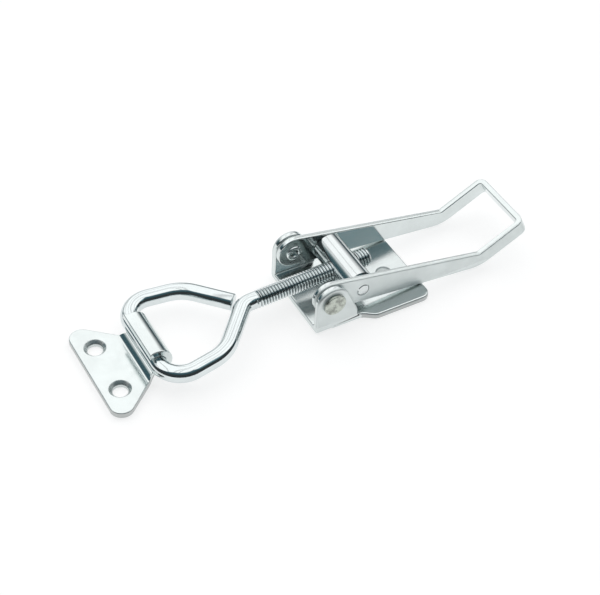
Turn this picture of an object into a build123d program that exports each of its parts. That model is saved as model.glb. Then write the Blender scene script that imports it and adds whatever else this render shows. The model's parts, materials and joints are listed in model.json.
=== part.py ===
from build123d import *
from math import asin, atan2, cos, degrees, hypot, radians, sin, tan
import os

# Over centre toggle latch, shown closed. Millimetres.
# +X runs from the catch plate to the free end of the handle, +Y is across, +Z is up from
# the surface that the latch is screwed to. The origin lies on that surface, under the pivot.

# ---- Sheet and wire stock ----
BASE_SHEET = 2.3              # base bracket
HANDLE_SHEET = 2.0            # handle strip
PLATE_SHEET = 2.2             # catch plate
WIRE_DIAMETER = 5.6           # hook bolt, plain stretch
THREAD_DIAMETER = 5.95        # hook bolt, over the crests of its M6 thread

# ---- Clearances ----
ARM_GAP = 0.2                 # ear to handle arm
PIN_CLEARANCE = 0.05          # radial, where a rivet or a journal turns in a hole
SEAT_CLEARANCE = 0.02         # radial, where a rivet sits tight in its ear
RING_GAP = 0.05               # rolled rivet end to handle arm
BARREL_GAP = 0.15             # end of the trunnion's barrel to handle arm
THREAD_CLEARANCE = 0.05       # radial, thread crests in the trunnion
HOOK_CLEARANCE = 0.05         # radial, loop bar in the curl of the catch plate
HOOK_SIDE_GAP = 0.1           # end of the curl to where the bar starts to bend
STOP_GAP = 0.2                # closed handle arms to the rear edge of the floor
LEG_END_GAP = 0.1             # cut end of the far leg to the near leg

# ---- Base bracket ----
EAR_OUTER_HALF = 15.0         # centre plane to the outer face of an ear
PIVOT_HEIGHT = 11.5
EAR_RADIUS = 5.6              # round top of the ear, about the pivot
EAR_BACK_LEAN = 25.0          # degrees, back edge of the ear off vertical
EAR_BACK_X = 9.3              # foot of the ear's back edge
EAR_HEEL_RADIUS = 6.0         # where the back edge turns down
EAR_RELIEF = 0.8              # round notch between ear and tail
TAIL_END_X = 35.5
TAIL_HALF = 17.7
TAIL_CORNER = 3.2
FLARE_X = 12.9                # middle of the slope where the floor widens
FLARE_ANGLE = 35.0
FLARE_RADIUS = 3.6            # less where the slope is too short for it
FOLD_OUTSIDE = 1.2            # fold between floor and ear
FOLD_INSIDE = 0.5
BASE_HOLE_DIAMETER = 4.8
BASE_HOLE_MOUTH = 5.6
BASE_HOLE_X = 26.8
BASE_HOLE_Y = -2.2

# ---- Rivets ----
RIVET_DIAMETER = 4.0
RIVET_HEAD_DIAMETER = 7.5
RIVET_HEAD_HEIGHT = 1.2
RIVET_HEAD_EDGE = 0.3
RING_DIAMETER = 5.4           # rolled over end
RING_HEIGHT = 0.65
RING_EDGE = 0.35
RIVET_BORE = 2.6
RIVET_BORE_DEPTH = 3.0        # straight part
RIVET_BORE_POINT = 0.65       # drill point beyond it

# ---- Handle ----
ARM_END_RADIUS = 5.5          # round end of the arm, about the pivot
ARM_TOP_SLOPE = 10.9          # degrees, fall of the arm's top edge
ARM_KINK_X = 57.2             # where the top edge turns up
GRIP_RISE = 27.8              # degrees, rise of the grip
GRIP_LENGTH = 18.3
GRIP_DEPTH = 5.6
GRIP_CORNER_INSIDE = 0.9      # fold between arm and crossbar
KINK_TOP_RADIUS = 1.0
KINK_BOTTOM_RADIUS = 13.0

# ---- Trunnion ----
TRUNNION_REACH = 12.3         # pivot to trunnion
TRUNNION_DIAMETER = 10.0
JOURNAL_DIAMETER = 4.2
BARREL_CHAMFER = 0.5
JOURNAL_CHAMFER = 0.3
THREAD_MOUTH_CHAMFER = 0.4

# ---- Hook bolt ----
BOLT_LENGTH = 69.5            # trunnion to the middle of the loop's bar
BAR_HEIGHT = 6.9
TAIL_LENGTH = 9.3             # trunnion to the bolt's free end
THREAD_LENGTH = 41.0
THREAD_END_CHAMFER = 0.9
LEG_ANGLE = 47.5              # degrees, legs of the loop off the bolt's line
SHOULDER_HALF = 15.1          # bolt's line to the loop's shoulders
SHOULDER_REACH = 49.7         # trunnion to the shoulders
CORNER_HALF = 18.3            # bolt's line to the loop's outer corners, before rounding
SHANK_BEND = 5.5
SHOULDER_BEND = 13.0
CORNER_BEND = 7.6

# ---- Catch plate ----
PLATE_REACH = 18.3            # loop bar to the plate's outer edge
PLATE_HALF = 18.8             # over the rounded corners
PLATE_CORNER = 3.9
PLATE_TAPER = 40.0            # degrees, sides off the plate's long axis
TONGUE_RADIUS = 2.0           # where the sides meet the curl
STEP_BACK = 2.2               # loop bar to the top of the step
STEP_ANGLE = 50.0
STEP_BEND = 0.9               # inside radius of both bends in the step
LIP_LENGTH = 2.5              # curl's lip, from over the bar
PLATE_HOLE_REACH = 5.9        # outer edge to the screw holes
PLATE_HOLE_SPACING = 18.6
PLATE_HOLE_DIAMETER = 4.8
PLATE_HOLE_MOUTH = 7.0

# ---- Places that follow from the sizes ----
EAR_INNER_HALF = EAR_OUTER_HALF - BASE_SHEET
ARM_OUTER_HALF = EAR_INNER_HALF - ARM_GAP
ARM_INNER_HALF = ARM_OUTER_HALF - HANDLE_SHEET
WIRE_RADIUS = WIRE_DIAMETER / 2
STOP_HEIGHT = BASE_SHEET + STOP_GAP
STOP_DROP = PIVOT_HEIGHT - STOP_HEIGHT
STOP_DIRECTION = atan2(STOP_DROP, TAIL_END_X)
ARM_BOTTOM_SLOPE = degrees(STOP_DIRECTION - asin(ARM_END_RADIUS / hypot(TAIL_END_X, STOP_DROP)))
ARM_SLOPE = radians((ARM_TOP_SLOPE + ARM_BOTTOM_SLOPE) / 2)
TRUNNION_X = TRUNNION_REACH * cos(ARM_SLOPE)
TRUNNION_Z = PIVOT_HEIGHT - TRUNNION_REACH * sin(ARM_SLOPE)
BOLT_SLOPE = asin((TRUNNION_Z - BAR_HEIGHT) / BOLT_LENGTH)
BAR_X = TRUNNION_X - BOLT_LENGTH * cos(BOLT_SLOPE)
# The bolt lies in a plane of its own: x towards the loop, y across.
BOLT_PLANE = Plane(
    origin=(TRUNNION_X, 0, TRUNNION_Z),
    x_dir=(-cos(BOLT_SLOPE), 0, -sin(BOLT_SLOPE)),
    z_dir=(sin(BOLT_SLOPE), 0, -cos(BOLT_SLOPE)),
)
LOOP_TAPER = atan2(CORNER_HALF - SHOULDER_HALF, BOLT_LENGTH - SHOULDER_REACH)
BAR_STRAIGHT_HALF = CORNER_HALF - CORNER_BEND * tan((radians(90) + LOOP_TAPER) / 2)
CURL_HALF = BAR_STRAIGHT_HALF - HOOK_SIDE_GAP
CURL_RADIUS = WIRE_RADIUS + HOOK_CLEARANCE
SIDE_VIEW = Plane.XZ          # x to the right, y up, seen from -Y
OVERRUN = 1.0                 # how far a cutting tool reaches past what it cuts
FILLET_SHARE = 0.95           # most that a rounding takes of the straight it starts on


def side_prism(outline, half_width):
    """Solid of a side-view outline, equally wide to both sides of the centre plane."""
    return extrude(SIDE_VIEW * outline, half_width, both=True)


def cross_hole(x, z, diameter, half_width):
    """Round tool that runs across the latch."""
    return Pos(x, 0, z) * Rot(90, 0, 0) * Cylinder(diameter / 2, 2 * half_width)


def screw_hole(x, y, thickness, diameter, mouth):
    """Countersunk screw hole down through a sheet that lies on z = 0."""
    depth = (mouth - diameter) / 2
    through = Pos(x, y, thickness / 2) * Cylinder(diameter / 2, thickness + 2 * OVERRUN)
    cone = Pos(x, y, thickness - depth / 2) * Cone(diameter / 2, mouth / 2, depth)
    return through + cone


def flat_outline(points):
    return make_face(Polyline(*points, close=True))


def nearest_corner(outline, x, y):
    """The corner of an outline that lies closest to a point."""
    return outline.vertices().sort_by_distance((x, y, 0))[0]


def base_bracket():
    section = flat_outline([
        (-EAR_OUTER_HALF, 0), (EAR_OUTER_HALF, 0),
        (EAR_OUTER_HALF, PIVOT_HEIGHT + EAR_RADIUS), (EAR_INNER_HALF, PIVOT_HEIGHT + EAR_RADIUS),
        (EAR_INNER_HALF, BASE_SHEET), (-EAR_INNER_HALF, BASE_SHEET),
        (-EAR_INNER_HALF, PIVOT_HEIGHT + EAR_RADIUS), (-EAR_OUTER_HALF, PIVOT_HEIGHT + EAR_RADIUS),
    ])
    for side in (-1, 1):
        section = fillet(nearest_corner(section, side * EAR_OUTER_HALF, 0), FOLD_OUTSIDE)
        section = fillet(nearest_corner(section, side * EAR_INNER_HALF, BASE_SHEET), FOLD_INSIDE)
    channel = extrude(Plane.YZ * section, TAIL_END_X, both=True)
    bracket = channel & side_prism(ear_outline(), EAR_OUTER_HALF)
    bracket += extrude(tail_outline(), BASE_SHEET)
    bracket -= cross_hole(0, PIVOT_HEIGHT, RIVET_DIAMETER + 2 * SEAT_CLEARANCE, EAR_OUTER_HALF + OVERRUN)
    bracket -= screw_hole(BASE_HOLE_X, BASE_HOLE_Y, BASE_SHEET, BASE_HOLE_DIAMETER, BASE_HOLE_MOUTH)
    return bracket


def ear_outline():
    lean = radians(EAR_BACK_LEAN)
    top_x = EAR_RADIUS * cos(lean)
    top_z = PIVOT_HEIGHT + EAR_RADIUS * sin(lean)
    heel_z = top_z - (EAR_BACK_X - top_x) / tan(lean)
    back = flat_outline([
        (-EAR_RADIUS, 0), (-EAR_RADIUS, PIVOT_HEIGHT), (0, PIVOT_HEIGHT), (top_x, top_z),
        (EAR_BACK_X, heel_z), (EAR_BACK_X, BASE_SHEET), (EAR_BACK_X + 2 * EAR_RELIEF, BASE_SHEET),
        (EAR_BACK_X + 2 * EAR_RELIEF, 0),
    ])
    back = fillet(nearest_corner(back, EAR_BACK_X, heel_z), EAR_HEEL_RADIUS)
    back = fillet(nearest_corner(back, EAR_BACK_X, BASE_SHEET), EAR_RELIEF)
    return back + Pos(0, PIVOT_HEIGHT) * Circle(EAR_RADIUS)


def tail_outline():
    half_run = (TAIL_HALF - EAR_OUTER_HALF) / tan(radians(FLARE_ANGLE)) / 2
    # both roundings of the slope have to fit on it
    longest = half_run / cos(radians(FLARE_ANGLE)) / tan(radians(FLARE_ANGLE) / 2)
    bend = min(FLARE_RADIUS, FILLET_SHARE * longest)
    flare = [(0, EAR_OUTER_HALF), (FLARE_X - half_run, EAR_OUTER_HALF), (FLARE_X + half_run, TAIL_HALF)]
    outline = flat_outline(
        flare + [(TAIL_END_X, TAIL_HALF), (TAIL_END_X, -TAIL_HALF)] + [(x, -y) for x, y in reversed(flare)]
    )
    for side in (-1, 1):
        for x, y in flare[1:]:
            outline = fillet(nearest_corner(outline, x, side * y), bend)
        outline = fillet(nearest_corner(outline, TAIL_END_X, side * TAIL_HALF), TAIL_CORNER)
    return outline


def pivot_rivet(side):
    """Semi-tubular rivet: flat head outside the ear, rolled end inside the handle arm."""
    head_r, shank_r = RIVET_HEAD_DIAMETER / 2, RIVET_DIAMETER / 2
    ring_r, bore_r = RING_DIAMETER / 2, RIVET_BORE / 2
    head_y = EAR_OUTER_HALF + RIVET_HEAD_HEIGHT
    ring_y = ARM_INNER_HALF - RING_GAP
    end_y = ring_y - RING_HEIGHT
    bore_y = end_y + RIVET_BORE_DEPTH
    body = flat_outline([
        (0, head_y), (head_r, head_y), (head_r, EAR_OUTER_HALF), (shank_r, EAR_OUTER_HALF),
        (shank_r, ring_y), (ring_r, ring_y), (ring_r, end_y), (bore_r, end_y),
        (bore_r, bore_y), (0, bore_y + RIVET_BORE_POINT),
    ])
    body = chamfer(nearest_corner(body, head_r, head_y), RIVET_HEAD_EDGE)
    for radius in (ring_r, bore_r):
        body = chamfer(nearest_corner(body, radius, end_y), RING_EDGE)
    rivet = revolve(body, Axis.Y)
    if side < 0:
        rivet = mirror(rivet, Plane.XZ)
    return Pos(0, 0, PIVOT_HEIGHT) * rivet


def handle_outline():
    """Side view: round pivot end, tapering arm, upturned grip."""
    top, bottom, rise = radians(ARM_TOP_SLOPE), radians(ARM_BOTTOM_SLOPE), radians(GRIP_RISE)
    top_tangent = (ARM_END_RADIUS * sin(top), PIVOT_HEIGHT + ARM_END_RADIUS * cos(top))
    bottom_tangent = (-ARM_END_RADIUS * sin(bottom), PIVOT_HEIGHT - ARM_END_RADIUS * cos(bottom))
    kink = (ARM_KINK_X, top_tangent[1] - (ARM_KINK_X - top_tangent[0]) * tan(top))
    grip_end = (kink[0] + GRIP_LENGTH * cos(rise), kink[1] + GRIP_LENGTH * sin(rise))
    grip_foot = (grip_end[0] + GRIP_DEPTH * sin(rise), grip_end[1] - GRIP_DEPTH * cos(rise))
    # the arm's lower edge, z = foot_z - x tan(bottom), meets the grip's lower edge
    foot_z = bottom_tangent[1] + bottom_tangent[0] * tan(bottom)
    heel_x = (foot_z - grip_foot[1] + grip_foot[0] * tan(rise)) / (tan(rise) + tan(bottom))
    heel = (heel_x, foot_z - heel_x * tan(bottom))
    points = [(0, PIVOT_HEIGHT), top_tangent, kink, grip_end, grip_foot, heel, bottom_tangent]
    outline = flat_outline(points)
    outline = fillet(nearest_corner(outline, *kink), KINK_TOP_RADIUS)
    outline = fillet(nearest_corner(outline, *heel), KINK_BOTTOM_RADIUS)
    return outline + Pos(0, PIVOT_HEIGHT) * Circle(ARM_END_RADIUS), grip_end


def handle():
    outline, grip_end = handle_outline()
    rise = radians(GRIP_RISE)
    # plan view of the folded strip, drawn square to the grip, with its end at x = 0
    plan = Plane(
        origin=(grip_end[0], 0, grip_end[1]),
        x_dir=(cos(rise), 0, sin(rise)),
        z_dir=(-sin(rise), 0, cos(rise)),
    )
    reach = 2 * (ARM_KINK_X + GRIP_LENGTH)
    outer = Pos(-reach / 2, 0) * Rectangle(reach, 2 * ARM_OUTER_HALF)
    inner = Pos(-reach / 2 - HANDLE_SHEET, 0) * Rectangle(reach, 2 * ARM_INNER_HALF)
    for side in (-1, 1):
        outer = fillet(nearest_corner(outer, 0, side * ARM_OUTER_HALF), GRIP_CORNER_INSIDE + HANDLE_SHEET)
        inner = fillet(nearest_corner(inner, -HANDLE_SHEET, side * ARM_INNER_HALF), GRIP_CORNER_INSIDE)
    strip = extrude(plan * (outer - inner), reach, both=True)
    lever = side_prism(outline, ARM_OUTER_HALF) & strip
    rivet_hole = RIVET_DIAMETER + 2 * PIN_CLEARANCE
    lever -= cross_hole(0, PIVOT_HEIGHT, rivet_hole, ARM_OUTER_HALF + OVERRUN)
    journal_hole = JOURNAL_DIAMETER + 2 * PIN_CLEARANCE
    lever -= cross_hole(TRUNNION_X, TRUNNION_Z, journal_hole, ARM_OUTER_HALF + OVERRUN)
    return lever


def trunnion():
    """Cross bar of the handle, drilled and tapped for the hook bolt."""
    barrel_half = ARM_INNER_HALF - BARREL_GAP
    barrel = Cylinder(TRUNNION_DIAMETER / 2, 2 * barrel_half)
    barrel = chamfer(barrel.edges().filter_by(GeomType.CIRCLE), BARREL_CHAMFER)
    journals = Cylinder(JOURNAL_DIAMETER / 2, 2 * ARM_OUTER_HALF)
    journals = chamfer(journals.edges().filter_by(GeomType.CIRCLE), JOURNAL_CHAMFER)
    turned = Pos(TRUNNION_X, 0, TRUNNION_Z) * Rot(90, 0, 0) * (barrel + journals)
    bore_radius = THREAD_DIAMETER / 2 + THREAD_CLEARANCE
    tapped = Rot(0, 90, 0) * Cylinder(bore_radius, 2 * TRUNNION_DIAMETER)
    mouth = Cone(bore_radius + THREAD_MOUTH_CHAMFER, bore_radius, THREAD_MOUTH_CHAMFER)
    for turn in (90, -90):
        tapped += Rot(0, turn, 0) * Pos(0, 0, -TRUNNION_DIAMETER / 2 + THREAD_MOUTH_CHAMFER / 2) * mouth
    return turned - BOLT_PLANE.location * tapped


def hook_bolt():
    """One wire: threaded shank, near leg, bar, far leg. The far leg is cut square at the near leg."""
    leg = radians(LEG_ANGLE)
    apex = SHOULDER_REACH - SHOULDER_HALF / tan(leg)
    end_reach = (WIRE_RADIUS * (1 + abs(cos(2 * leg))) + LEG_END_GAP) / sin(2 * leg)
    path = FilletPolyline(
        (-TAIL_LENGTH, 0), (apex, 0),
        (SHOULDER_REACH, -SHOULDER_HALF), (BOLT_LENGTH, -CORNER_HALF),
        (BOLT_LENGTH, CORNER_HALF), (SHOULDER_REACH, SHOULDER_HALF),
        (apex + end_reach * cos(leg), end_reach * sin(leg)),
        radius=[SHANK_BEND, SHOULDER_BEND, CORNER_BEND, CORNER_BEND, SHOULDER_BEND],
    )
    section = Plane(origin=path @ 0, z_dir=path % 0) * Circle(WIRE_RADIUS)
    wire = sweep(section, path)
    thread = Cylinder(THREAD_DIAMETER / 2, THREAD_LENGTH)
    thread = chamfer(thread.edges().filter_by(GeomType.CIRCLE).sort_by(Axis.Z)[0], THREAD_END_CHAMFER)
    wire -= Pos(-TAIL_LENGTH, 0, 0) * Box(2 * THREAD_END_CHAMFER, WIRE_DIAMETER, WIRE_DIAMETER)
    wire += Pos(-TAIL_LENGTH + THREAD_LENGTH / 2, 0, 0) * Rot(0, 90, 0) * thread
    return BOLT_PLANE.location * wire


def catch_plate_section():
    """Side view: flat plate, step up, curl round the loop's bar, flat lip."""
    outer_edge = BAR_X - PLATE_REACH
    floor = BAR_HEIGHT - CURL_RADIUS
    step_top = BAR_X - STEP_BACK
    step_foot = step_top - (floor - PLATE_SHEET) / tan(radians(STEP_ANGLE))
    under = FilletPolyline(
        (outer_edge, PLATE_SHEET), (step_foot, PLATE_SHEET), (step_top, floor), (BAR_X, floor),
        radius=[STEP_BEND, STEP_BEND + PLATE_SHEET],
    )
    curl = CenterArc((BAR_X, BAR_HEIGHT), CURL_RADIUS, -90, 180)
    lip = Line((BAR_X, BAR_HEIGHT + CURL_RADIUS), (BAR_X - LIP_LENGTH, BAR_HEIGHT + CURL_RADIUS))
    face_side = Wire(under.edges() + curl.edges() + lip.edges())
    return make_face(offset(face_side, PLATE_SHEET, side=Side.RIGHT))


def catch_plate_outline():
    """Plan view: long outer edge, round corners, tapering sides, parallel curl."""
    outer_edge = BAR_X - PLATE_REACH
    taper = radians(PLATE_TAPER)
    corner_y = PLATE_HALF - PLATE_CORNER + PLATE_CORNER * tan((radians(90) + taper) / 2)
    neck_x = outer_edge + (corner_y - CURL_HALF) / tan(taper)
    end_x = BAR_X + 2 * WIRE_DIAMETER
    upper = [(outer_edge, corner_y), (neck_x, CURL_HALF), (end_x, CURL_HALF)]
    outline = flat_outline(upper + [(x, -y) for x, y in reversed(upper)])
    for side in (-1, 1):
        outline = fillet(nearest_corner(outline, outer_edge, side * corner_y), PLATE_CORNER)
        outline = fillet(nearest_corner(outline, neck_x, side * CURL_HALF), TONGUE_RADIUS)
    return outline


def catch_plate():
    plate = side_prism(catch_plate_section(), PLATE_HALF + OVERRUN)
    plate &= extrude(catch_plate_outline(), BAR_HEIGHT + CURL_RADIUS + 2 * PLATE_SHEET)
    hole_x = BAR_X - PLATE_REACH + PLATE_HOLE_REACH
    for side in (-1, 1):
        hole_y = side * PLATE_HOLE_SPACING / 2
        plate -= screw_hole(hole_x, hole_y, PLATE_SHEET, PLATE_HOLE_DIAMETER, PLATE_HOLE_MOUTH)
    return plate


NODES = {
    "base_bracket": base_bracket(),
    "pivot_rivet_left": pivot_rivet(-1),
    "pivot_rivet_right": pivot_rivet(1),
    "handle": handle(),
    "trunnion": trunnion(),
    "hook_bolt": hook_bolt(),
    "catch_plate": catch_plate(),
}

os.makedirs("parts", exist_ok=True)
for name, solid in NODES.items():
    export_step(solid, f"parts/{name}.step")
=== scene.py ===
import json
from math import asin, atan2, cos, pi, radians, sin, tan

import bmesh
import bpy
from mathutils import Matrix, Vector


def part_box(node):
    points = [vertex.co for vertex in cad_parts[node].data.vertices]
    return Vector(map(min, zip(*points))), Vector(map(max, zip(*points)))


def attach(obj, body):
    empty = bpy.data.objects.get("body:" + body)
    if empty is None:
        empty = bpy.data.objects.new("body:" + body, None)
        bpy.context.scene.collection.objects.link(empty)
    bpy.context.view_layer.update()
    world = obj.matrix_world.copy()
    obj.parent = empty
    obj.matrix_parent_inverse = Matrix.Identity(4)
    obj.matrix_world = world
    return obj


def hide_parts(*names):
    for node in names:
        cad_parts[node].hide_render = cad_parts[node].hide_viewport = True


bl_info = {
    "name": "Over Centre Toggle Latch",
    "version": (1, 0, 0),
    "blender": (4, 5, 0),
    "location": "View3D > Sidebar > Latch",
    "description": "Dresses the latch: plated sheet, threaded wire bolt, rivets and a studio stage",
    "category": "Object",
}

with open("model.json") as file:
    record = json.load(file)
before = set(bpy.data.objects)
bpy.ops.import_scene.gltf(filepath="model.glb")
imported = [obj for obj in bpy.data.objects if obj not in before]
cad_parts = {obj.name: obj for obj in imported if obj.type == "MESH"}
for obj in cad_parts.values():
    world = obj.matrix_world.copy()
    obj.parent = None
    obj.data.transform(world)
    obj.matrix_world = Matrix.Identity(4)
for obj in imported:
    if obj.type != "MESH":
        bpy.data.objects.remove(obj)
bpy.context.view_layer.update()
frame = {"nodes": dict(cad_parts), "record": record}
MM = 0.001                    # settings are in millimetres, and shaders and placed pieces in metres
FULL_TURN = 2 * pi
WHITE = (1.0, 1.0, 1.0, 1.0)


# ---------------------------------------------------------------- shader maths

class Signal:
    """One output of a shader node. Numbers and other signals combine with it through Math nodes."""

    def __init__(self, graph, socket):
        self.graph = graph
        self.socket = socket

    def __add__(self, other):
        return self.graph.math("ADD", self, other)

    def __sub__(self, other):
        return self.graph.math("SUBTRACT", self, other)

    def __mul__(self, other):
        return self.graph.math("MULTIPLY", self, other)

    def __rsub__(self, other):
        return self.graph.math("SUBTRACT", other, self)

    def __abs__(self):
        return self.graph.math("ABSOLUTE", self)

    __radd__ = __add__
    __rmul__ = __mul__


class Graph:
    """A node tree that is emptied and filled again."""

    def __init__(self, tree):
        self.tree = tree
        tree.nodes.clear()

    def node(self, kind, settings=None, inputs=None, output=0):
        """Adds a node. Its settings come first, then its sockets get a value or a link."""
        added = self.tree.nodes.new(kind)
        for name, value in (settings or {}).items():
            setattr(added, name, value)
        for name, value in (inputs or {}).items():
            if isinstance(value, Signal):
                self.tree.links.new(value.socket, added.inputs[name])
            else:
                added.inputs[name].default_value = value
        return Signal(self, added.outputs[output]) if len(added.outputs) else None

    def math(self, operation, *values):
        return self.node("ShaderNodeMath", {"operation": operation}, dict(enumerate(values)))

    def vector(self, operation, *values, output="Vector"):
        return self.node("ShaderNodeVectorMath", {"operation": operation}, dict(enumerate(values)), output)

    def dot(self, first, second):
        return self.vector("DOT_PRODUCT", first, second, output="Value")

    def length(self, value):
        return self.vector("LENGTH", value, output="Value")

    def parts(self, value):
        """The x, y and z of a vector."""
        first = self.node("ShaderNodeSeparateXYZ", None, {0: value})
        return [Signal(self, socket) for socket in first.socket.node.outputs]

    def ramp(self, value, low, high, to_low=0.0, to_high=1.0):
        """Eases from to_low to to_high while value goes from low to high."""
        limits = {"From Min": low, "From Max": high, "To Min": to_low, "To Max": to_high}
        settings = {"interpolation_type": "SMOOTHSTEP"}
        return self.node("ShaderNodeMapRange", settings, {"Value": value, **limits})

    def blend(self, share, first, second, how="MIX"):
        """Mix of two colours. The node takes them at its sockets 6 and 7, and gives the mix at 2."""
        settings = {"data_type": "RGBA", "blend_type": how}
        return self.node("ShaderNodeMix", settings, {0: share, 6: first, 7: second}, 2)

    def noise(self, place, scale, detail=3.0, roughness=0.6):
        inputs = {"Vector": place, "Scale": scale, "Detail": detail, "Roughness": roughness}
        return self.node("ShaderNodeTexNoise", None, inputs)

    def seen_by(self, *rays):
        """1 where a ray of one of these kinds arrives, and 0 otherwise."""
        return sum(self.node("ShaderNodeLightPath", output=f"Is {ray} Ray") for ray in rays)

    def metal(self, colour, roughness, relief):
        """The whole surface of a metal, with its relief in metres."""
        bump = {"Strength": 1.0, "Distance": 1.0, "Height": relief}
        inputs = {"Base Color": colour, "Metallic": 1.0, "Roughness": roughness}
        inputs["Normal"] = self.node("ShaderNodeBump", None, bump)
        surface = self.node("ShaderNodeBsdfPrincipled", None, inputs)
        self.node("ShaderNodeOutputMaterial", None, {"Surface": surface})


def material_graph(name):
    material = bpy.data.materials.new(name)
    material.use_nodes = True
    return material, Graph(material.node_tree)


# ---------------------------------------------------------------- plating

# waves a metre of each noise
GRAIN_WAVES = 1600.0
CLOUD_WAVES = 160.0
SPECK_WAVES = 1300.0
BLOTCH_WAVES = 600.0
SPOT_WAVES = 2100.0

# how much the rolling grain is squeezed along x, y and z
GRAIN_ALONG_X = (0.12, 1.0, 1.0)
GRAIN_ALONG_Y = (1.0, 0.12, 1.0)
GRAIN_ALONG_BAR = (1.0, 0.1, 1.0)
GRAIN_OF_WIRE = (0.3, 0.3, 0.3)

CLOUD_SHADE = 0.05                      # how much darker the plating's clouds are
CLOUD_SATIN = 0.04                      # how much more satin the clouds and the grain are
FLOOR_SATIN = 0.10                      # the same of the base's floor
RELIEF = 0.000007                       # height of the plating's relief, in metres

# what lies over the plain plating, and the painted shade of the thread's grooves: how much of its colour
# shows, the colour, how much more satin
PITS = (0.175, (0.42, 0.43, 0.40, 1.0), 0.035)
# painted shade, not a coating: it darkens the thread's grooves
PAINTED_GROOVE_SHADE = (1.0, (0.24, 0.28, 0.29, 1.0), 0.15)
TURNED = (0.2, (0.36, 0.38, 0.38, 1.0), 0.22)
SHEARED = (0.55, (0.34, 0.335, 0.33, 1.0), 0.2)
STAIN = (0.10, 0.11, 0.09, 1.0)

# places in metres
WALL = 0.0125                           # how far the folded walls stand off the middle
FLOOR_LEVEL = 0.0026                    # over the floor of the base, where its walls begin
GROOVE_SHADE_FADE = 0.0016                    # where the grooves grow shallow at the thread's end, and their painted shade fades out
GROOVE_SHADE_DARKEST = 0.00002                   # over the root, where the painted shade in a groove is darkest
GROOVE_SHADE_CLEAR = 0.00015                  # under the crest, where the painted groove shade ends and it is no darker than the wire


class Zinc:
    """Bright zinc on steel, which is built up in layers. All places and lengths are in metres."""

    def __init__(self, name, colour, roughness, squeeze):
        self.material, self.graph = material_graph(name)
        graph = self.graph
        self.place = graph.node("ShaderNodeTexCoord", output="Object")
        self.x, self.y, self.z = graph.parts(self.place)
        grain = graph.noise(graph.vector("MULTIPLY", self.place, squeeze), GRAIN_WAVES, 2.0, 0.5)
        cloud = graph.noise(self.place, CLOUD_WAVES, 4.0)
        speck = graph.noise(self.place, SPECK_WAVES)
        bright = graph.ramp(cloud, 0.35, 0.7)
        cloudy = [channel * (1 - CLOUD_SHADE) for channel in colour]
        self.colour = graph.blend(bright, (*cloudy, 1.0), (*colour, 1.0))
        self.roughness = roughness + (1 - bright) * CLOUD_SATIN + graph.ramp(grain, 0.3, 0.8) * CLOUD_SATIN
        self.relief = (grain * 0.5 + cloud * 1.2 + speck * 0.25) * RELIEF
        self.layer(graph.ramp(speck, 0.66, 0.78), *PITS)

    def layer(self, mask, share, colour, satin):
        """Where the mask is 1, a share of the colour shows and the metal is more satin."""
        self.colour = self.graph.blend(mask * share, self.colour, colour)
        self.roughness = self.roughness + mask * satin

    def lean_walls(self, angle):
        """Walls look as if they leaned outwards, as folded sheet does after it springs back."""
        self.relief = self.relief + self.y * self.z * (angle / WALL)

    def tumble_outside(self, face, satin):
        """Walls further from the middle than face are tumbled, and the floor under them a little."""
        graph = self.graph
        wall = graph.ramp(self.z, FLOOR_LEVEL - 0.0002, FLOOR_LEVEL + 0.0004)
        outside = graph.ramp(abs(self.y), face - 0.0002, face) * wall
        floor = graph.ramp(self.z, FLOOR_LEVEL, FLOOR_LEVEL - 0.0004)
        self.roughness = self.roughness + outside * satin + floor * FLOOR_SATIN

    def paint_groove_shade(self, point, direction, root, crest, end):
        """Paints shade into a thread's grooves between two radii, up to end along the line from point."""
        graph = self.graph
        offset = graph.vector("SUBTRACT", self.place, point)
        radius = graph.length(graph.vector("CROSS_PRODUCT", offset, direction))
        threaded = graph.ramp(graph.dot(offset, direction), end - GROOVE_SHADE_FADE, end, 1.0, 0.0)
        # painted shade: darkest at a groove's root, none under the crest
        groove_shade_mask = graph.ramp(radius, root + GROOVE_SHADE_DARKEST, crest - GROOVE_SHADE_CLEAR, 1.0, 0.0)
        self.layer(groove_shade_mask * threaded, *PAINTED_GROOVE_SHADE)

    def turn_mouths(self, mouths):
        """Makes the turned mouth of each screw hole, (x, y, radius), more satin. Gives their mask."""
        graph = self.graph
        masks = []
        for x, y, radius in mouths:
            offset = graph.vector("SUBTRACT", self.place, (x, y, 0.0))
            reach = graph.length(graph.vector("MULTIPLY", offset, (1.0, 1.0, 0.0)))
            masks.append(graph.ramp(reach, radius - 0.00003, radius, 1.0, 0.0))
        turned = sum(masks)
        self.layer(turned, *TURNED)
        return turned

    def grey_edges(self, start, side, top, spared):
        """Greys sheared edges under top, from x = start on towards +x (side 1) or -x (side -1).

        What the mask spared covers stays as it is."""
        graph = self.graph
        tilt = graph.parts(graph.node("ShaderNodeTexCoord", output="Normal"))[2]
        cut = graph.ramp(abs(tilt), 0.75, 0.35) * graph.ramp(self.z, top, top - 0.0003)
        cut = cut * graph.ramp(self.x, start, start + side * 0.0005) * (1 - spared)
        self.layer(cut, *SHEARED)

    def finish(self):
        self.graph.metal(self.colour, self.roughness, self.relief)
        return self.material


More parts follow.
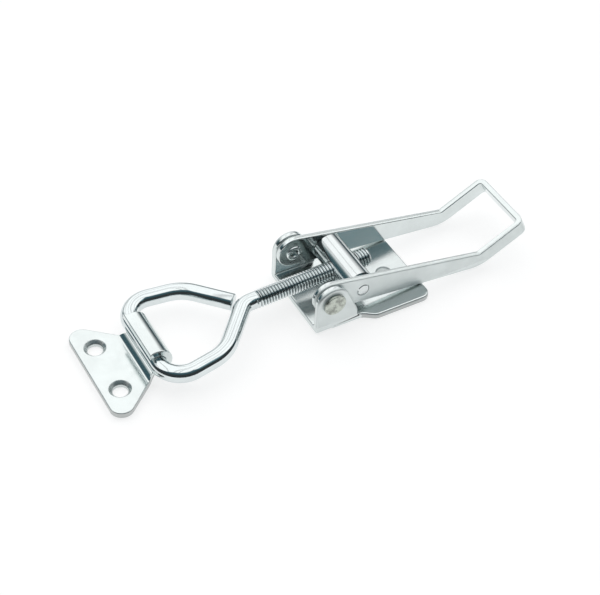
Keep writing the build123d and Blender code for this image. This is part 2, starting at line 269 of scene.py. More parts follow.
def rivet_plate(name, bright, dull, head):
    """Bright rivet whose struck head, further from the middle than head, is blotched and dull."""
    material, graph = material_graph(name)
    place = graph.node("ShaderNodeTexCoord", output="Object")
    across = graph.parts(place)[1]
    struck = graph.ramp(abs(across), head, head + 0.0002)
    blotch = graph.noise(place, BLOTCH_WAVES)
    spot = graph.noise(place, SPOT_WAVES)
    pale = graph.ramp(blotch, 0.38, 0.58)
    brown = [channel * 0.5 for channel in dull]
    skin = graph.blend(pale, (*brown, 1.0), (*dull, 1.0))
    skin = graph.blend(graph.ramp(spot, 0.58, 0.70) * 0.5, skin, STAIN)
    colour = graph.blend(struck, (*bright, 1.0), skin)
    roughness = 0.12 + struck * (0.16 + 0.18 * pale)
    relief = struck * (blotch * 0.00012 + spot * 0.00003) + blotch * 0.00001
    graph.metal(colour, roughness, relief)
    return material


def dress(obj, material):
    obj.data.materials.clear()
    obj.data.materials.append(material)


# ---------------------------------------------------------------- meshes

RING_SEGMENTS = 64                      # points round the wire and round a rivet
BEND_STEP = radians(3)                  # one ring of the wire to the next in a bend
LEAD_IN_TURNS = 1.5                     # turns of the thread that begin before its free end
SPARE_TURNS = 3                         # turns beyond its length, at both ends together
RUNOUT_CURVE = 0.6                      # how the thread fades out, where 1 is evenly

# back from the wire's cut end, and how much thinner the wire is there
CUT_END = ((0.35, 0.0), (0.12, 0.06), (0.0, 0.3))


def new_piece(name, vertices, faces, material, body, slot, *nodes):
    """A smooth-shaded piece that stands for CAD nodes and moves with a body."""
    mesh = bpy.data.meshes.new(name)
    mesh.from_pydata(vertices, [], faces)
    mesh.validate()
    mesh.shade_smooth()
    piece = bpy.data.objects.new(name, mesh)
    bpy.context.scene.collection.objects.link(piece)
    dress(piece, material)
    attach(piece, body)
    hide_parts(*nodes)
    return piece


def in_order(model):
    """Points and faces of a model, in the same order in every run. Each face starts where it did."""
    vertices = sorted(model.verts, key=lambda vertex: tuple(vertex.co))
    index = {vertex: k for k, vertex in enumerate(vertices)}
    faces = sorted([index[vertex] for vertex in face.verts] for face in model.faces)
    return [tuple(vertex.co) for vertex in vertices], faces


def merge_points(vertices, faces, digits=7):
    """Joins points that fall together and drops the faces that this leaves without an area."""
    index, points, joined = {}, [], []
    for vertex in vertices:
        key = tuple(round(c, digits) for c in vertex)
        if key not in index:
            index[key] = len(points)
            points.append(vertex)
        joined.append(index[key])
    kept = []
    for face in faces:
        corners = list(dict.fromkeys(joined[corner] for corner in face))
        if len(corners) > 2:
            kept.append(tuple(corners))
    return points, kept


def skin_point(x, y, direction, radius, k):
    """Point k of the ring round a wire whose centre line runs in the xy plane."""
    angle = FULL_TURN * k / RING_SEGMENTS
    across = radius * cos(angle)
    return (x - across * sin(direction), y + across * cos(direction), radius * sin(angle))


def skin_ring(x, y, direction, radius):
    return [skin_point(x, y, direction, radius, k) for k in range(RING_SEGMENTS)]


def ring_faces(first, second):
    """Quads between two rings of points, given by the index of each ring's first point."""
    count = RING_SEGMENTS
    return [
        (first + k, first + (k + 1) % count, second + (k + 1) % count, second + k)
        for k in range(count)
    ]


def heading(start, end):
    return atan2(end[1] - start[1], end[0] - start[0])


def wire_route(points, radii):
    """Centre line of a bent wire in its own plane: (x, y, direction) along runs and arcs."""
    route = [(*points[0], heading(points[0], points[1]))]
    for before, corner, after, radius in zip(points, points[1:], points[2:], radii):
        inward, outward = heading(before, corner), heading(corner, after)
        turn = (outward - inward + pi) % FULL_TURN - pi
        reach = radius * tan(abs(turn) / 2)
        start = (corner[0] - reach * cos(inward), corner[1] - reach * sin(inward))
        side = 1 if turn > 0 else -1
        centre = (start[0] - side * radius * sin(inward), start[1] + side * radius * cos(inward))
        steps = max(2, round(abs(turn) / BEND_STEP))
        for k in range(steps + 1):
            angle = inward + turn * k / steps
            x = centre[0] + side * radius * sin(angle)
            y = centre[1] - side * radius * cos(angle)
            route.append((x, y, angle))
    route.append((*points[-1], heading(points[-2], points[-1])))
    return route


def thread_rows(crest, root):
    """One turn of a rolled thread's profile: (share of the pitch, radius)."""
    low, high = root + 0.12 * (crest - root), crest - 0.10 * (crest - root)
    return [
        (0.00, root), (0.09, root + 0.03), (0.14, low), (0.38, high), (0.43, crest),
        (0.57, crest), (0.62, high), (0.86, low), (0.91, root + 0.03),
    ]


def thread_mesh(sizes):
    """Rows that climb one pitch in each turn, and are held back at both ends of the thread."""
    wire, crest = sizes.wire / 2, sizes.thread / 2
    start, end = -sizes.tail, -sizes.tail + sizes.thread_length
    rim = crest - sizes.end_chamfer
    profile = thread_rows(crest, crest - sizes.thread_depth)
    vertices, faces = [], []
    ladder = [
        ((turn - LEAD_IN_TURNS + share) * sizes.pitch, radius)
        for turn in range(int(sizes.thread_length / sizes.pitch) + SPARE_TURNS)
        for share, radius in profile
    ]
    for rise, radius in ladder:
        for column in range(RING_SEGMENTS):
            along = start + rise + sizes.pitch * column / RING_SEGMENTS
            along = min(max(along, start), end)
            reach = min(radius, rim + (along - start)) if along > start else rim
            if end - along < sizes.runout:
                share = (end - along) / sizes.runout
                reach = wire + (radius - wire) * share ** RUNOUT_CURVE
            vertices.append(skin_point(along, 0, 0, reach, column))

    def index(row, column):
        """A row goes on, past its last column, as the row that is one turn further along."""
        if column == RING_SEGMENTS:
            row, column = row + len(profile), 0
        return row * RING_SEGMENTS + column

    for row in range(len(ladder) - 1):
        for column in range(RING_SEGMENTS):
            corners = [(row, column), (row, column + 1), (row + 1, column + 1), (row + 1, column)]
            face = tuple(index(*corner) for corner in corners)
            if max(face) < len(vertices):
                faces.append(face)
    return vertices, faces


def add_free_end(vertices, faces, sizes):
    """The flat end of the thread, inside its chamfer."""
    centre = len(vertices)
    vertices.append((-sizes.tail, 0.0, 0.0))
    vertices += skin_ring(-sizes.tail, 0, 0, sizes.thread / 2 - sizes.end_chamfer)
    rim = centre + 1
    faces += [(centre, rim + (k + 1) % RING_SEGMENTS, rim + k) for k in range(RING_SEGMENTS)]


def add_loop(vertices, faces, sizes):
    """Plain wire from the thread's end round the loop, to its square cut end at the near leg."""
    wire, angle = sizes.wire / 2, sizes.leg_angle
    apex = sizes.shoulder_reach - sizes.shoulder_half / tan(angle)
    end_reach = (wire * (1 + abs(cos(2 * angle))) + sizes.end_gap) / sin(2 * angle)
    corners = [
        (sizes.thread_length - sizes.tail, 0),
        (apex, 0),
        (sizes.shoulder_reach, -sizes.shoulder_half),
        (sizes.length, -sizes.corner_half),
        (sizes.length, sizes.corner_half),
        (sizes.shoulder_reach, sizes.shoulder_half),
        (apex + end_reach * cos(angle), end_reach * sin(angle)),
    ]
    radii = [
        sizes.shank_bend, sizes.shoulder_bend, sizes.corner_bend, sizes.corner_bend, sizes.shoulder_bend,
    ]
    *route, (x, y, direction) = wire_route(corners, radii)
    rings = [(*place, wire) for place in route]
    for back, thinner in CUT_END:
        rings.append((x - back * cos(direction), y - back * sin(direction), direction, wire - thinner))
    first = len(vertices)
    for ring in rings:
        vertices += skin_ring(*ring)
    last = first + (len(rings) - 1) * RING_SEGMENTS
    for start in range(first, last, RING_SEGMENTS):
        faces += ring_faces(start, start + RING_SEGMENTS)
    tip = len(vertices)
    vertices.append((x, y, 0.0))
    faces += [(last + k, last + (k + 1) % RING_SEGMENTS, tip) for k in range(RING_SEGMENTS)]


def bolt_mesh(sizes):
    """Threaded shank, bent loop and square cut end, in the bolt's own plane, in millimetres."""
    vertices, faces = thread_mesh(sizes)
    add_free_end(vertices, faces, sizes)
    add_loop(vertices, faces, sizes)
    return merge_points(vertices, faces)


def lathe(profile):
    """Solid turned about the y axis from (radius, y) points, both ends on the axis."""
    vertices, faces = [], []
    for radius, y in profile:
        for k in range(RING_SEGMENTS):
            angle = FULL_TURN * k / RING_SEGMENTS
            vertices.append((radius * cos(angle), y, radius * sin(angle)))
    for row in range(len(profile) - 1):
        faces += ring_faces(row * RING_SEGMENTS, (row + 1) * RING_SEGMENTS)
    return merge_points(vertices, faces)


def connected(edges):
    """Splits edges into the groups that touch each other."""
    at_point = {}
    for edge in edges:
        for vertex in edge.verts:
            at_point.setdefault(vertex, []).append(edge)
    left, groups = set(edges), []
    for edge in edges:
        if edge not in left:
            continue
        left.discard(edge)
        group = [edge]
        for member in group:
            for vertex in member.verts:
                for other in at_point[vertex]:
                    if other in left:
                        left.discard(other)
                        group.append(other)
        groups.append(group)
    return groups


def round_edges(model, sizes, round_over):
    """Rounds over a folded sheet's outline, and breaks the edges of its holes."""
    bmesh.ops.remove_doubles(model, verts=model.verts, dist=sizes.merge * MM)
    bmesh.ops.dissolve_limit(model, angle_limit=sizes.flat, verts=model.verts, edges=model.edges)
    sharp = [
        edge for edge in model.edges
        if len(edge.link_faces) == 2 and edge.is_convex and edge.calc_face_angle() > sizes.sharp
    ]
    outline, holes = [], []
    for group in connected(sharp):
        around = sum(edge.calc_length() for edge in group) / MM
        (holes if around < sizes.hole_around else outline).extend(group)
    for edges, width, steps in ((outline, round_over, 3), (holes, sizes.hole_break, 2)):
        alive = [edge for edge in edges if edge.is_valid]
        if alive:
            bmesh.ops.bevel(
                model, geom=alive, offset=width * MM, segments=steps, profile=0.5,
                affect="EDGES", clamp_overlap=False, miter_outer="SHARP",
            )


# ---------------------------------------------------------------- sizes and colours

class SheetSettings(bpy.types.PropertyGroup):
    """How the folded sheets' edges and holes are finished, in millimetres."""

    round_over: bpy.props.FloatProperty(
        name="Round over", description="Rounding of the outline", default=0.4
    )
    base_round_over: bpy.props.FloatProperty(
        name="Base round over", description="Rounding of the base bracket's outline", default=0.6
    )
    hole_break: bpy.props.FloatProperty(
        name="Hole break", description="Rounding at the holes", default=0.12
    )
    hole_around: bpy.props.FloatProperty(
        name="Hole around", description="An edge shorter than this all round is a hole's", default=25.0
    )
    sharp: bpy.props.FloatProperty(
        name="Sharp", description="Edges that turn by more than this are rounded",
        default=radians(25), subtype="ANGLE",
    )
    flat: bpy.props.FloatProperty(
        name="Flat", description="Faces that turn by less than this are one face",
        default=radians(0.4), subtype="ANGLE",
    )
    merge: bpy.props.FloatProperty(
        name="Merge", description="Points nearer than this are one", default=0.002
    )
    countersink: bpy.props.FloatProperty(
        name="Countersink", description="Diameter of the catch plate's countersunk mouths", default=7.0
    )
    chamfer: bpy.props.FloatProperty(
        name="Chamfer", description="Diameter of the broken mouth of the base's screw hole", default=5.6
    )
    ear_face: bpy.props.FloatProperty(
        name="Ear face", description="Middle to where the base's ears are tumbled", default=14.2
    )
    arm_face: bpy.props.FloatProperty(
        name="Arm face", description="Middle to where the handle's arms are tumbled", default=11.9
    )
    tail_from: bpy.props.FloatProperty(
        name="Tail from", description="Pivot to the sheared edges of the base's tail, along X", default=10.5
    )
    plate_from: bpy.props.FloatProperty(
        name="Plate from", description="Pivot to the sheared edges of the catch plate, along X", default=-58.5
    )
    sheared_top: bpy.props.FloatProperty(
        name="Sheared top", description="Height under which the sheared edges lie", default=2.6
    )


class ZincSettings(bpy.types.PropertyGroup):
    """Colours of the zinc plating, and how satin it is."""

    sheet: bpy.props.FloatVectorProperty(
        name="Sheet", description="Plating on the folded sheet", subtype="COLOR",
        size=3, default=(0.73, 0.78, 0.775), min=0.0, max=1.0,
    )
    wire: bpy.props.FloatVectorProperty(
        name="Wire", description="Plating on the bolt's wire", subtype="COLOR",
        size=3, default=(0.74, 0.79, 0.795), min=0.0, max=1.0,
    )
    bar: bpy.props.FloatVectorProperty(
        name="Bar", description="Plating on the turned cross bar", subtype="COLOR",
        size=3, default=(0.72, 0.76, 0.76), min=0.0, max=1.0,
    )
    rivet: bpy.props.FloatVectorProperty(
        name="Rivet", description="Duller plating on the rivets' heads", subtype="COLOR",
        size=3, default=(0.60, 0.64, 0.58), min=0.0, max=1.0,
    )
    roughness: bpy.props.FloatProperty(
        name="Roughness", description="How satin the bright plating is",
        default=0.09, min=0.02, max=0.6, subtype="FACTOR",
    )
    wire_roughness: bpy.props.FloatProperty(
        name="Wire roughness", description="How satin the drawn wire is",
        default=0.05, min=0.02, max=0.6, subtype="FACTOR",
    )
    tumbled: bpy.props.FloatProperty(
        name="Tumbled", description="How much more satin the walls' outsides are",
        default=0.34, min=0.0, max=0.6, subtype="FACTOR",
    )
    splay: bpy.props.FloatProperty(
        name="Splay", description="How far the folded walls seem to lean outwards",
        default=0.045, subtype="ANGLE",
    )


class BoltSettings(bpy.types.PropertyGroup):
    """Sizes of the hook bolt, in millimetres."""

    wire: bpy.props.FloatProperty(
        name="Wire", description="Diameter of the plain wire", default=5.6
    )
    thread: bpy.props.FloatProperty(
        name="Thread", description="Diameter over the crests", default=5.94
    )
    thread_depth: bpy.props.FloatProperty(
        name="Thread depth", description="Crest to root", default=0.58
    )
    pitch: bpy.props.FloatProperty(
        name="Pitch", description="Rise of the thread in one turn", default=1.0
    )
    thread_length: bpy.props.FloatProperty(
        name="Thread length", description="Threaded part, from the free end", default=41.0
    )
    runout: bpy.props.FloatProperty(
        name="Run-out", description="Where the thread fades out", default=1.6
    )
    end_chamfer: bpy.props.FloatProperty(
        name="End chamfer", description="Chamfer of the free end", default=0.9
    )
    tail: bpy.props.FloatProperty(
        name="Tail", description="Cross bar to the free end", default=9.3
    )
    length: bpy.props.FloatProperty(
        name="Length", description="Cross bar to the middle of the loop's bar", default=69.5
    )
    bar_height: bpy.props.FloatProperty(
        name="Bar height", description="Loop's bar off the floor", default=6.9
    )
    leg_angle: bpy.props.FloatProperty(
        name="Leg angle", description="Legs of the loop off the bolt's line",
        default=radians(47.5), subtype="ANGLE",
    )
    shoulder_half: bpy.props.FloatProperty(
        name="Shoulder half", description="Bolt's line to the loop's shoulders", default=15.1
    )
    shoulder_reach: bpy.props.FloatProperty(
        name="Shoulder reach", description="Cross bar to the shoulders", default=49.7
    )
    corner_half: bpy.props.FloatProperty(
        name="Corner half", description="Bolt's line to the loop's outer corners", default=18.3
    )
    shank_bend: bpy.props.FloatProperty(
        name="Shank bend", description="Radius of the bend from the shank to the loop", default=5.5
    )
    shoulder_bend: bpy.props.FloatProperty(
        name="Shoulder bend", description="Radius of the shoulders", default=13.0
    )
    corner_bend: bpy.props.FloatProperty(
        name="Corner bend", description="Radius of the outer corners", default=7.6
    )
    end_gap: bpy.props.FloatProperty(
        name="End gap", description="Cut end of the far leg to the near leg", default=0.1
    )


class RivetSettings(bpy.types.PropertyGroup):
    """Sizes of a pivot rivet, in millimetres."""

    ring: bpy.props.FloatProperty(
        name="Ring", description="Diameter of the rolled end", default=5.4
    )
    ring_height: bpy.props.FloatProperty(
        name="Ring height", description="Height of the rolled end", default=0.65
    )
    shank: bpy.props.FloatProperty(
        name="Shank", description="Diameter of the shank", default=4.0
    )
    bore: bpy.props.FloatProperty(
        name="Bore", description="Diameter of the hollow end", default=2.6
    )
    bore_depth: bpy.props.FloatProperty(
        name="Bore depth", description="Depth of the hollow end", default=3.0
    )
    bore_point: bpy.props.FloatProperty(
        name="Bore point", description="Depth of the cone at the bottom of the bore", default=0.65
    )
    head_height: bpy.props.FloatProperty(
        name="Head height", description="Thickness of the head", default=1.2
    )
    head_round: bpy.props.FloatProperty(
        name="Head edge", description="Rounding of the head's edge", default=0.45
    )
    head_dish: bpy.props.FloatProperty(
        name="Head dish", description="How far the middle of the head is sunk", default=0.04
    )
    head_flat: bpy.props.FloatProperty(
        name="Head flat", description="Width of the flat round the dish", default=0.9
    )
    head_from: bpy.props.FloatProperty(
        name="Head from", description="Middle of the latch to where the head begins", default=15.2
    )


class StageSettings(bpy.types.PropertyGroup):
    """The floor, the studio's brightness and the camera."""

    floor: bpy.props.FloatVectorProperty(
        name="Floor", description="Colour of the floor", subtype="COLOR",
        size=3, default=(0.88, 0.88, 0.88), min=0.0, max=1.0,
    )
    glow: bpy.props.FloatProperty(
        name="Glow", description="How far the camera and the metal see the floor as white", default=0.68
    )
    sky: bpy.props.FloatProperty(
        name="Sky", description="Brightness of the soft boxes", default=1.28
    )
    azimuth: bpy.props.FloatProperty(
        name="Azimuth", description="Camera, from the front towards +X", default=-0.5570, subtype="ANGLE"
    )
    elevation: bpy.props.FloatProperty(
        name="Elevation", description="Camera over the floor", default=0.7836, subtype="ANGLE"
    )
    roll: bpy.props.FloatProperty(
        name="Roll", description="Camera's roll", default=0.0643, subtype="ANGLE"
    )
    place: bpy.props.FloatVectorProperty(
        name="Camera", description="Camera's place in metres", subtype="TRANSLATION",
        size=3, default=(-0.1750467, -0.2759486, 0.3261114), precision=5,
    )
    lens: bpy.props.FloatProperty(
        name="Lens", description="Focal length on a 36 mm sensor, in millimetres", default=86.619
    )


# ---------------------------------------------------------------- pieces of the latch

class LATCH_OT_sheet_parts(bpy.types.Operator):
    """Round over and plate the base bracket, the handle and the catch plate"""

    bl_idname = "latch.sheet_parts"
    bl_label = "Sheet Parts"

    def execute(self, context):
        sheet, zinc = context.scene.latch_sheet, context.scene.latch_zinc
        self.base_bracket(sheet, zinc)
        self.handle(sheet, zinc)
        self.catch_plate(sheet, zinc)
        return {"FINISHED"}

    def base_bracket(self, sheet, zinc):
        plating = Zinc("zinc_base_bracket", zinc.sheet, zinc.roughness, GRAIN_ALONG_X)
        plating.lean_walls(zinc.splay)
        plating.tumble_outside(sheet.ear_face * MM, zinc.tumbled)
        mouths = plating.turn_mouths(self.mouths("base_screw", sheet.chamfer))
        plating.grey_edges(sheet.tail_from * MM, 1, sheet.sheared_top * MM, mouths)
        self.rounded("base_bracket", "base", sheet, sheet.base_round_over, plating.finish())

    def handle(self, sheet, zinc):
        plating = Zinc("zinc_handle", zinc.sheet, zinc.roughness, GRAIN_ALONG_X)
        plating.lean_walls(zinc.splay)
        plating.tumble_outside(sheet.arm_face * MM, zinc.tumbled)
        self.rounded("handle", "handle", sheet, sheet.round_over, plating.finish())

    def catch_plate(self, sheet, zinc):
        plating = Zinc("zinc_catch_plate", zinc.sheet, zinc.roughness, GRAIN_ALONG_Y)
        mouths = plating.turn_mouths(self.mouths("catch_plate_screws", sheet.countersink))
        plating.grey_edges(sheet.plate_from * MM, -1, sheet.sheared_top * MM, mouths)
        self.rounded("catch_plate", "catch_plate", sheet, sheet.round_over, plating.finish())

    @staticmethod
    def mouths(mount_name, diameter):
        """(x, y, radius) of each screw hole of a mount, over the edge of its mouth."""
        mount = next(mount for mount in frame["record"]["mounts"] if mount["name"] == mount_name)
        x, y = mount["pos_m"][:2]
        apart = mount["dims"].get("spacing_y_mm", 0.0) * MM
        sides = (-apart / 2, apart / 2) if apart else (0.0,)
        return [(x, y + side, diameter / 2 * MM) for side in sides]

    @staticmethod
    def rounded(node, body, sheet, round_over, material):
        """A copy of the node with its edges rounded over, which stands for the node."""
        model = bmesh.new()
        model.from_mesh(frame["nodes"][node].data)
        round_edges(model, sheet, round_over)
        vertices, faces = in_order(model)
        model.free()
        piece = new_piece(f"{node}_rounded", vertices, faces, material, body, "zinc_sheet", node)
        even = piece.modifiers.new("even_normals", "WEIGHTED_NORMAL")
        even.weight = 100


class LATCH_OT_cross_bar(bpy.types.Operator):
    """Plate the turned cross bar"""

    bl_idname = "latch.cross_bar"
    bl_label = "Cross Bar"

    def execute(self, context):
        zinc = context.scene.latch_zinc
        plating = Zinc("zinc_bar", zinc.bar, zinc.roughness, GRAIN_ALONG_BAR)
        dress(frame["nodes"]["trunnion"], plating.finish())
        return {"FINISHED"}


class LATCH_OT_hook_bolt(bpy.types.Operator):
    """Build the hook bolt with its rolled thread"""

    bl_idname = "latch.hook_bolt"
    bl_label = "Hook Bolt"

    def execute(self, context):
        sizes, zinc = context.scene.latch_bolt, context.scene.latch_zinc
        low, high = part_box("trunnion")
        middle = (low + high) / 2
        drop = middle.z / MM - sizes.bar_height
        slope = asin(drop / sizes.length)
        forward = Vector((-cos(slope), 0, -sin(slope)))
        upward = Vector((sin(slope), 0, -cos(slope)))
        across = upward.cross(forward)
        points, faces = bolt_mesh(sizes)
        placed = [middle + MM * (x * forward + y * across + z * upward) for x, y, z in points]
        crest = sizes.thread / 2
        root = crest - sizes.thread_depth
        plating = Zinc("zinc_wire", zinc.wire, zinc.wire_roughness, GRAIN_OF_WIRE)
        thread_end = sizes.thread_length - sizes.tail
        # painted shade in the thread's grooves
        plating.paint_groove_shade(middle, forward, root * MM, crest * MM, thread_end * MM)
        new_piece(
            "hook_bolt_threaded", placed, faces, plating.finish(), "hook_bolt", "zinc_wire", "hook_bolt"
        )
        return {"FINISHED"}


class LATCH_OT_pivot_rivets(bpy.types.Operator):
    """Turn the two pivot rivets"""

    bl_idname = "latch.pivot_rivets"
    bl_label = "Pivot Rivets"

    def execute(self, context):
        sizes, zinc = context.scene.latch_rivet, context.scene.latch_zinc
        material = rivet_plate("rivet_plate", zinc.sheet, zinc.rivet, sizes.head_from * MM)
        for side, name in ((-1, "pivot_rivet_left"), (1, "pivot_rivet_right")):
            low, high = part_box(name)
            inner, outer = sorted((low.y / MM, high.y / MM), key=abs)
            head = (high.x - low.x) / MM / 2
            profile = self.profile(sizes, abs(inner), abs(outer), head)
            points, faces = lathe([(radius, side * y) for radius, y in profile])
            if side > 0:
                faces = [tuple(reversed(face)) for face in faces]
            middle = (low + high) / 2
            placed = [Vector((middle.x + x * MM, y * MM, middle.z + z * MM)) for x, y, z in points]
            new_piece(f"{name}_turned", placed, faces, material, "base", "rivet_steel", name)
        return {"FINISHED"}

    @staticmethod
    def profile(sizes, inner, outer, head):
        """(radius, y) from the middle of the head to the bottom of the hollow end."""
        rounds = 6
        edge = sizes.head_round
        points = [(0.0, outer - sizes.head_dish), (head - edge - sizes.head_flat, outer)]
        for k in range(rounds + 1):
            angle = pi / 2 * k / rounds
            points.append((head - edge + edge * sin(angle), outer - edge + edge * cos(angle)))
        ring, shank, bore = sizes.ring / 2, sizes.shank / 2, sizes.bore / 2
        under = outer - sizes.head_height
        ring_top = inner + sizes.ring_height
        points += [(head, under), (shank, under), (shank, ring_top), (ring, ring_top)]
        crown = (ring + bore) / 2
        for k in range(1, 2 * rounds):
            angle = pi * k / (2 * rounds)
            along = ring_top - sizes.ring_height * sin(angle)
            points.append((crown + (ring - crown) * cos(angle), along))
        bottom = inner + sizes.bore_depth
        return points + [(bore, ring_top), (bore, bottom), (0.0, bottom + sizes.bore_point)]


# ---------------------------------------------------------------- stage

FLOOR_HALF = 12.0                       # metres from the middle of the floor to its rim
FLOOR_DROP = 0.0002                     # clearance under the latch, in metres
FLOOR_SHADED = (0.45, 0.45, 0.45, 1.0)  # the floor as it is seen, without its glow
SENSOR_WIDTH = 36.0

# directions in the studio
TO_FRONT = (-0.342, -0.940, 0.0)
TO_REAR_RIGHT = (0.75, 0.66, 0.0)
TO_REAR_LEFT = (-0.70, 0.71, 0.0)
ACROSS_SEAMS = (0.715, -0.671, 0.194)
ACROSS_GAP = (-0.648, 0.745, -0.165)

# heights and widths in the studio, as sines of the angle from the latch
SIDE_EDGE = 0.505                       # lower edge of the soft boxes at the sides
EDGE_RISE = 0.51                        # how much higher it is at the front, and lower behind
HIGHEST_EDGE = 0.87
EDGE_BLUR = 0.045
SEAM_SPACING = 0.2
GAP_FROM_MIDDLE = 0.045

# its colours
DARK = (0.030, 0.036, 0.038, 1.0)
DARK_TEAL = (0.045, 0.095, 0.115, 1.0)
DUSK = (0.15, 0.255, 0.285, 1.0)
SEAM = (0.42, 0.43, 0.43, 1.0)
GAP = (0.64, 0.64, 0.645, 1.0)
LOW_GREY = (0.45, 0.47, 0.47, 1.0)
REAR_RIGHT_DARK = (0.05, 0.08, 0.09, 1.0)
REAR_LEFT_DARK = (0.07, 0.12, 0.13, 1.0)
UNDER = (0.8, 0.8, 0.8, 1.0)


class Studio:
    """What the plating mirrors: soft boxes over a dark front and a grey lower back."""

    def __init__(self, graph):
        self.graph = graph
        self.way = graph.node("ShaderNodeTexCoord", output="Generated")
        self.height = graph.parts(self.way)[2]
        self.level = graph.vector("NORMALIZE", graph.vector("MULTIPLY", self.way, (1.0, 1.0, 0.0)))
        self.front = graph.dot(self.level, TO_FRONT)

    def dark(self):
        """The unlit room, teal above and behind, with a paler dusk on the right."""
        graph = self.graph
        teal = graph.ramp(self.height, 0.5, 0.78) + graph.ramp(self.front, 0.1, -0.5)
        right = graph.parts(self.level)[0]
        dusk = graph.ramp(right, 0.51, 0.60) * graph.ramp(self.height, 0.5, 0.66)
        return graph.blend(dusk, graph.blend(teal, DARK, DARK_TEAL), DUSK)

    def boxes(self):
        """White soft boxes, with narrow seams between them and one wider, paler gap."""
        graph = self.graph
        seam = graph.math("PINGPONG", graph.dot(self.way, ACROSS_SEAMS) + SEAM_SPACING, SEAM_SPACING)
        gap = abs(graph.dot(self.way, ACROSS_GAP) + GAP_FROM_MIDDLE)
        seamed = graph.blend(graph.ramp(seam, 0.008, 0.026), SEAM, WHITE)
        return graph.blend(graph.ramp(gap, 0.01, 0.06), GAP, seamed)

    def shade(self):
        """How the boxes darken towards the floor, and more so in the two rear corners."""
        graph = self.graph
        low = graph.blend(graph.ramp(self.height, 0.0, 0.45), LOW_GREY, WHITE)
        right = graph.ramp(graph.dot(self.level, TO_REAR_RIGHT), 0.86, 0.97)
        low = graph.blend(right * graph.ramp(self.height, 0.55, 0.12), low, REAR_RIGHT_DARK)
        left = graph.ramp(graph.dot(self.level, TO_REAR_LEFT), 0.90, 0.98)
        return graph.blend(left * graph.ramp(self.height, 0.72, 0.40), low, REAR_LEFT_DARK)

    def colour(self):
        """The boxes end high over the front, and come down to the floor behind."""
        graph = self.graph
        edge = graph.math("MINIMUM", SIDE_EDGE + EDGE_RISE * self.front, HIGHEST_EDGE)
        lit = graph.ramp(self.height - edge, -EDGE_BLUR, EDGE_BLUR)
        boxes = graph.blend(1.0, self.boxes(), self.shade(), "MULTIPLY")
        over = graph.blend(lit, self.dark(), boxes)
        return graph.blend(graph.ramp(self.height, -0.02, 0.0), UNDER, over)


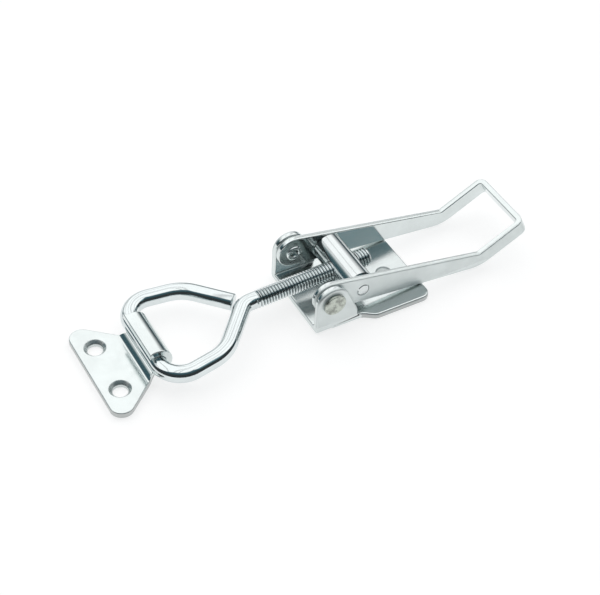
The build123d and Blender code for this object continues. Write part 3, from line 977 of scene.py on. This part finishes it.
class LATCH_OT_stage(bpy.types.Operator):
    """Lay the pale floor, light the studio and place the camera"""

    bl_idname = "latch.stage"
    bl_label = "Stage"

    def execute(self, context):
        scene, stage = context.scene, context.scene.latch_stage
        self.floor(scene, stage)
        self.world(scene, stage)
        self.camera(scene, stage)
        scene.view_settings.view_transform = "Standard"
        return {"FINISHED"}

    @staticmethod
    def floor(scene, stage):
        mesh = bpy.data.meshes.new("floor")
        corners = [(x * FLOOR_HALF, y * FLOOR_HALF, 0) for x, y in ((-1, -1), (1, -1), (1, 1), (-1, 1))]
        mesh.from_pydata(corners, [], [(0, 1, 2, 3)])
        floor = bpy.data.objects.new("floor", mesh)
        floor.location.z = -FLOOR_DROP
        scene.collection.objects.link(floor)
        material, graph = material_graph("pale_floor")
        plain = graph.node("ShaderNodeBsdfDiffuse", None, {"Color": (*stage.floor, 1.0)})
        shaded = graph.node("ShaderNodeBsdfDiffuse", None, {"Color": FLOOR_SHADED})
        glow = graph.node("ShaderNodeEmission", None, {"Color": WHITE, "Strength": stage.glow})
        shown = graph.node("ShaderNodeAddShader", None, {0: shaded, 1: glow})
        seen = graph.seen_by("Camera", "Glossy", "Transmission")
        surface = graph.node("ShaderNodeMixShader", None, {0: seen, 1: plain, 2: shown})
        graph.node("ShaderNodeOutputMaterial", None, {"Surface": surface})
        dress(floor, material)

    @staticmethod
    def world(scene, stage):
        """Beyond the floor's rim the camera sees white, and the metal still mirrors the studio."""
        scene.world = bpy.data.worlds.new("studio")
        scene.world.use_nodes = True
        graph = Graph(scene.world.node_tree)
        lights = {"Color": Studio(graph).colour(), "Strength": stage.sky}
        studio = graph.node("ShaderNodeBackground", None, lights)
        white = graph.node("ShaderNodeBackground", None, {"Color": WHITE, "Strength": 1.0})
        seen = graph.seen_by("Camera", "Transmission")
        surface = graph.node("ShaderNodeMixShader", None, {0: seen, 1: studio, 2: white})
        graph.node("ShaderNodeOutputWorld", None, {"Surface": surface})

    @staticmethod
    def camera(scene, stage):
        azimuth, elevation, roll = stage.azimuth, stage.elevation, stage.roll
        back = Vector((
            sin(azimuth) * cos(elevation), -cos(azimuth) * cos(elevation), sin(elevation),
        ))
        right = Vector((cos(azimuth), sin(azimuth), 0))
        up = back.cross(right)
        turned_right = cos(roll) * right + sin(roll) * up
        turned_up = cos(roll) * up - sin(roll) * right
        data = bpy.data.cameras.new("camera")
        data.sensor_width = SENSOR_WIDTH
        data.lens = stage.lens
        data.clip_start = 0.01
        camera = bpy.data.objects.new("camera", data)
        scene.collection.objects.link(camera)
        turn = Matrix((turned_right, turned_up, back)).transposed()
        camera.matrix_world = Matrix.Translation(stage.place) @ turn.to_4x4()
        scene.camera = camera


# ---------------------------------------------------------------- add-on

class LATCH_PT_sidebar(bpy.types.Panel):
    bl_label = "Toggle Latch"
    bl_idname = "LATCH_PT_sidebar"
    bl_space_type = "VIEW_3D"
    bl_region_type = "UI"
    bl_category = "Latch"

    def draw(self, context):
        for group_name in GROUPS:
            group = getattr(context.scene, group_name)
            column = self.layout.column()
            for name in group.bl_rna.properties.keys():
                if name not in ("rna_type", "name"):
                    column.prop(group, name)
        for operator in OPERATORS:
            self.layout.operator(operator.bl_idname)


GROUPS = {
    "latch_sheet": SheetSettings,
    "latch_zinc": ZincSettings,
    "latch_bolt": BoltSettings,
    "latch_rivet": RivetSettings,
    "latch_stage": StageSettings,
}
OPERATORS = (
    LATCH_OT_sheet_parts,
    LATCH_OT_cross_bar,
    LATCH_OT_hook_bolt,
    LATCH_OT_pivot_rivets,
    LATCH_OT_stage,
)
CLASSES = (*GROUPS.values(), *OPERATORS, LATCH_PT_sidebar)


def register():
    for kind in CLASSES:
        bpy.utils.register_class(kind)
    for name, group in GROUPS.items():
        setattr(bpy.types.Scene, name, bpy.props.PointerProperty(type=group))


def unregister():
    for name in GROUPS:
        delattr(bpy.types.Scene, name)
    for kind in reversed(CLASSES):
        bpy.utils.unregister_class(kind)


def main():
    register()
    bpy.ops.latch.sheet_parts()
    bpy.ops.latch.cross_bar()
    bpy.ops.latch.hook_bolt()
    bpy.ops.latch.pivot_rivets()
    bpy.ops.latch.stage()


if __name__ == "__main__":
    main()
